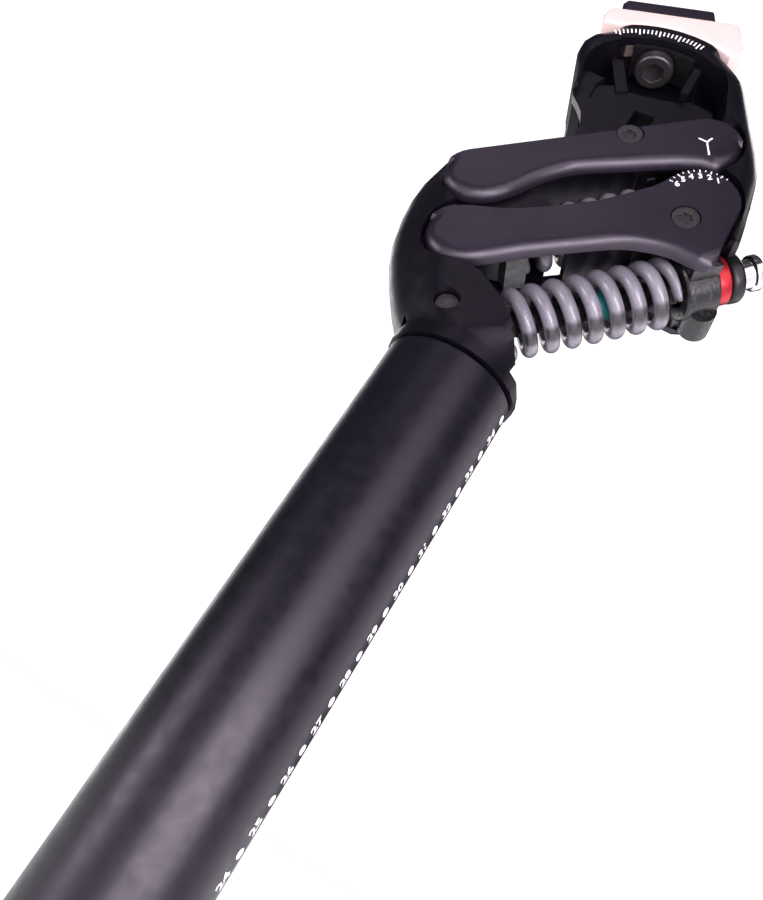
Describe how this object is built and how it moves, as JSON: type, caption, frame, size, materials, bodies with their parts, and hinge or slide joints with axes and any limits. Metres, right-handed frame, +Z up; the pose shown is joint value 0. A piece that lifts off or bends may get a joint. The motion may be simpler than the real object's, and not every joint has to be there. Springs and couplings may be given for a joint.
{
  "type": "suspension seatpost",
  "caption": "Bicycle seatpost with a sprung parallelogram linkage: round black post, side link plates, coil springs, preload adjuster and tilting saddle clamp.",
  "frame": {"origin": "centre of the groove between the post tube and the lower knuckle, on the post axis", "axes": "+Z up the post axis, +X to the bicycle's rear, +Y to the bicycle's right"},
  "size_m": [0.0854, 0.0324, 0.3586],
  "materials": {
    "black_coat": "satin",
    "black_steel": "semi-gloss",
    "spring_paint": "semi-gloss",
    "seat_grey": "satin",
    "red_anodised": "satin",
    "zinc": "polished",
    "cream_plastic": "matte",
    "washer_bronze": "satin"
  },
  "bodies": {
    "post": {"post_tube": "black_coat", "lower_knuckle": "black_coat", "spring_anchor_pin": "black_steel", "upper_front_axle": "black_steel", "lower_front_axle": "black_steel", "second_spring_pivot_pin": "black_steel", "upper_front_washer_left": "washer_bronze", "upper_front_washer_right": "washer_bronze", "lower_front_washer_left": "washer_bronze", "lower_front_washer_right": "washer_bronze"},
    "upper_link": {"upper_link_left": "black_coat", "upper_link_right": "black_coat", "upper_link_screw_left": "black_steel", "upper_link_screw_right": "black_steel", "upper_rear_axle": "black_steel", "second_spring_rear_seat": "black_coat"},
    "lower_link": {"lower_link_left": "black_coat", "lower_link_right": "black_coat", "lower_link_screw_left": "black_steel", "lower_link_screw_right": "black_steel", "lower_link_bridge": "black_coat", "lower_rear_axle": "black_steel", "spring_perch": "black_coat"},
    "head": {"head_forging": "black_coat", "upper_rear_washer_left": "washer_bronze", "upper_rear_washer_right": "washer_bronze", "lower_rear_washer_left": "washer_bronze", "lower_rear_washer_right": "washer_bronze"},
    "clamp": {"rail_spacer_block": "cream_plastic", "upper_clamp_plate": "black_coat", "clamp_bolt_left": "black_steel", "clamp_bolt_right": "black_steel", "curved_washer_left": "black_steel", "curved_washer_right": "black_steel"},
    "preload_unit": {"preload_rod": "black_steel", "main_spring_washer": "seat_grey", "main_spring": "spring_paint", "red_ring": "red_anodised", "black_ring": "black_steel", "preload_bolt_head": "zinc"},
    "second_spring_unit": {"second_spring_seat": "seat_grey", "second_spring_guide": "black_steel", "second_spring": "spring_paint"}
  },
  "joints": [
    {"name": "link_swing", "type": "hinge", "parent": "post", "child": "upper_link", "pos_m": [-0.0175, 0, 0.0475], "axis": [0, 1, 0], "range_deg": [0, 34], "stiffness_Nm_per_rad": 16, "springref_deg": -17.19},
    {"name": "lower_link_swing", "type": "hinge", "parent": "post", "child": "lower_link", "pos_m": [-0.0125, 0, 0.0295], "axis": [0, 1, 0], "range_deg": [0, 34]},
    {"name": "head_pivot", "type": "hinge", "parent": "upper_link", "child": "head", "pos_m": [0.0263, 0, 0.0822], "axis": [0, 1, 0], "range_deg": [-34, 0]},
    {"name": "preload_rod_tilt", "type": "hinge", "parent": "post", "child": "preload_unit", "pos_m": [-0.0062, 0, 0.0101], "axis": [0, 1, 0], "range_deg": [0, 31.23], "deforming": ["main_spring"]},
    {"name": "second_seat_tilt", "type": "hinge", "parent": "post", "child": "second_spring_unit", "pos_m": [-0.0079, 0, 0.0401], "axis": [0, 1, 0], "range_deg": [0, 38.43], "deforming": ["second_spring"]},
    {"name": "clamp_tilt", "type": "hinge", "parent": "head", "child": "clamp", "pos_m": [0.0058, 0, 0.0868], "axis": [0, 1, 0], "range_deg": [-8, 8]}
  ],
  "couplings": [
    {"joint": "lower_link_swing", "follows": "link_swing", "ratio": 1},
    {"joint": "head_pivot", "follows": "link_swing", "ratio": -1},
    {"joint": "preload_rod_tilt", "follows": "link_swing", "ratio": 0.9183},
    {"joint": "second_seat_tilt", "follows": "link_swing", "ratio": 1.1301}
  ]
}
